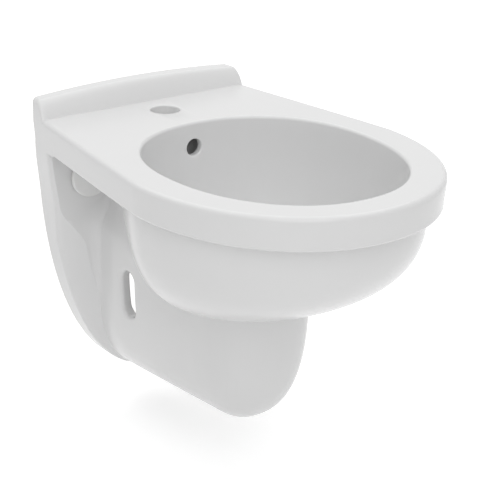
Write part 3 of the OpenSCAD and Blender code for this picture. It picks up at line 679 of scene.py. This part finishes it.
# Black moulded EPDM rubber of seals: matt with a fine bloom.
rubber = moulded("black seal rubber", "#141414", "#1D1D1C", 0.7, 0.5, 0.04)
# Bright chrome over brass: nearly smooth, neutral mirror.
chrome = metal("polished chrome plate", "#ABAEB1", "#B4B7B9", 0.05, 0.1, 0.4)
# Zinc-plated steel of nut and washer: pale blue-grey, fine scratches.
zinc = metal("bright zinc plate", "#A9ADB0", "#BCC0C2", 0.28, 0.42, 0.5)
# Stainless spring wire: drawn, fairly bright.
wire = metal("stainless spring wire", "#9FA3A6", "#B2B6B9", 0.22, 0.34, 0.3)
# Turned brass of the backnut: warm yellow with turning marks.
brass = metal("turned brass", "#B58E4A", "#C7A561", 0.24, 0.38, 0.5)


# Pieces

casting = dress(ceramic(), white_glaze)
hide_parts("ceramic_body")
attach(casting, "bidet")


def cover_cap(side):
    """Cover cap: a turned disc with a rounded rim, and a skirt that grips the sleeve."""
    inner = [(0.1, 45), (19.0, 45), (19.6, 44.4), (19.6, 31.2), (21.6, 31.2), (21.6, 40.3),
             (24.0, 40.3), (24.0, 42.0), (25.6, 42.0), (26.0, 42.4)]
    rim = [(26.0 - 1.6 * (1 - np.cos(a)), 45.4 + 1.6 * np.sin(a))
           for a in np.radians([0, 18, 36, 54, 72, 90])]
    face = [(24.4 * t, 47.0) for t in (0.8, 0.55, 0.3, 0.1)] + [(0.1, 47.0)]
    obj = turned("cover_cap_right" if side > 0 else "cover_cap_left", inner + rim + face,
                 (STUD_X * side, 0, -STUD_DROP), "q")
    smooth_shade(obj, 40)
    dress(obj, cap_plastic)
    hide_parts("right_fixing_cap" if side > 0 else "left_fixing_cap")
    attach(obj, "bidet")


cover_cap(-1)
cover_cap(1)


def waste_plug():
    """Plug: a turned mushroom with a shallow dome, a rounded rim and a boss on the rod."""
    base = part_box("plug_cap")
    z0 = base[0][2] * 1000 - STUD_DROP
    under = [(0.001, 4.0), (2.65, 4.0), (2.65, 0.0), (29.0, 0.0), (29.6, 0.4), (29.95, 1.1)]
    dome = [(30 * np.sin(a), 1.8 + 4.8 * np.cos(a)) for a in np.radians(np.linspace(84, 0.01, 26))]
    obj = turned("waste_plug", under + dome, (0, BOWL_IN["waste"], z0))
    smooth_shade(obj, 40)
    dress(obj, chrome)
    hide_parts("plug_cap")
    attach(obj, "plug")


waste_plug()

finishes = {"fixing_sleeve": nylon, "fixing_washer": zinc, "fixing_nut": zinc,
            "waste_body": chrome, "waste_rim_seal": rubber, "waste_gasket": rubber,
            "waste_washer": nylon, "waste_backnut": brass, "cartridge_housing": nylon,
            "cartridge_spring": wire, "cartridge_plunger": nylon, "plug_seal": rubber}
for obj in list(bpy.context.scene.objects):
    for ending, mat in finishes.items():
        if obj.type == "MESH" and obj.name.endswith(ending):
            dress(obj, mat)


# Stage, light and camera

def seen_or_lit(owner, lit, seen):
    """A strength: one value for the camera, mirrors and clear pieces, another for other light."""
    ray = add(owner, "ShaderNodeLightPath")
    mirror = add(owner, "ShaderNodeMath", {"operation": "MAXIMUM"}, i0=(ray, "Is Camera Ray"),
                 i1=(ray, "Is Glossy Ray"))
    direct = add(owner, "ShaderNodeMath", {"operation": "MAXIMUM"}, i0=(mirror, 0),
                 i1=(ray, "Is Transmission Ray"))
    return add(owner, "ShaderNodeMapRange", Value=(direct, 0), i3=lit, i4=seen)


def floor_paper():
    # Matt white paper that keeps the shadow. The camera, mirrors and clear pieces see it a little
    # lifted, as an overlit studio floor.
    mat = new_material("white paper floor")
    lift = seen_or_lit(mat, 0.0, 0.34)
    glow = add(mat, "ShaderNodeEmission", Color=(1, 1, 1, 1), Strength=(lift, 0))
    paper = add(mat, "ShaderNodeBsdfDiffuse", Color=rgba("#FFFFFF"))
    shader = add(mat, "ShaderNodeAddShader", i0=(paper, 0), i1=(glow, 0))
    add(mat, "ShaderNodeOutputMaterial", Surface=(shader, 0))
    return mat


def floor():
    """A flat square under the object, in metres."""
    s, z = 2.4, -0.327
    mesh = bpy.data.meshes.new("floor")
    mesh.from_pydata([(-s, -s, z), (s, -s, z), (s, s, z), (-s, s, z)], [], [(0, 1, 2, 3)])
    obj = new_object("floor", mesh)
    obj.data.materials.append(floor_paper())


floor()


def lamp(name, place, target, size, power):
    """A square soft box in metres and watts, turned to its target."""
    data = bpy.data.lights.new(name, "AREA")
    data.shape, data.size, data.energy = "SQUARE", size, power
    obj = new_object(name, data)
    obj.location = place
    obj.rotation_euler = (Vector(target) - Vector(place)).to_track_quat("-Z", "Y").to_euler()


lamp("soft box above", (0.2, 0.5, 2.6), (0, -0.2, 0), 4.2, 48)
lamp("soft box in front", (-1.1, -2.3, 1.9), (0, -0.2, 0), 2.2, 23)


def sky():
    """World: even soft light; the camera, mirrors and clear pieces see plain white."""
    world = bpy.data.worlds.new("studio")
    world.use_nodes = True
    bpy.context.scene.world = world
    world.node_tree.nodes.clear()
    strength = seen_or_lit(world, 0.46, 1.0)
    back = add(world, "ShaderNodeBackground", Color=(1, 1, 1, 1), Strength=(strength, 0))
    add(world, "ShaderNodeOutputWorld", Surface=(back, 0))


sky()


def photo_camera(yaw, pitch, roll, pixels, place):
    """Camera from angles in degrees, focal length in pixels of a 480 pixel frame, and place in mm."""
    a, e, r = np.radians([yaw, pitch, roll])
    back = np.array([np.sin(a) * np.cos(e), -np.cos(a) * np.cos(e), np.sin(e)])
    right = np.array([np.cos(a), np.sin(a), 0.0])
    up = np.cross(back, right)
    right, up = np.cos(r) * right + np.sin(r) * up, -np.sin(r) * right + np.cos(r) * up
    data = bpy.data.cameras.new("camera")
    data.sensor_width, data.lens = 36.0, 36.0 * pixels / 480.0
    obj = new_object("camera", data)
    m = Matrix(np.column_stack([right, up, back]).tolist()).to_4x4()
    m.translation = Vector((place[0] / 1000, place[1] / 1000, (place[2] + STUD_DROP) / 1000))
    obj.matrix_world = m
    bpy.context.scene.camera = obj


photo_camera(-36.906, 21.333, 1.152, 1584.1, (-1018.8, -1578.8, 545.0))
bpy.context.scene.view_settings.view_transform = "Standard"
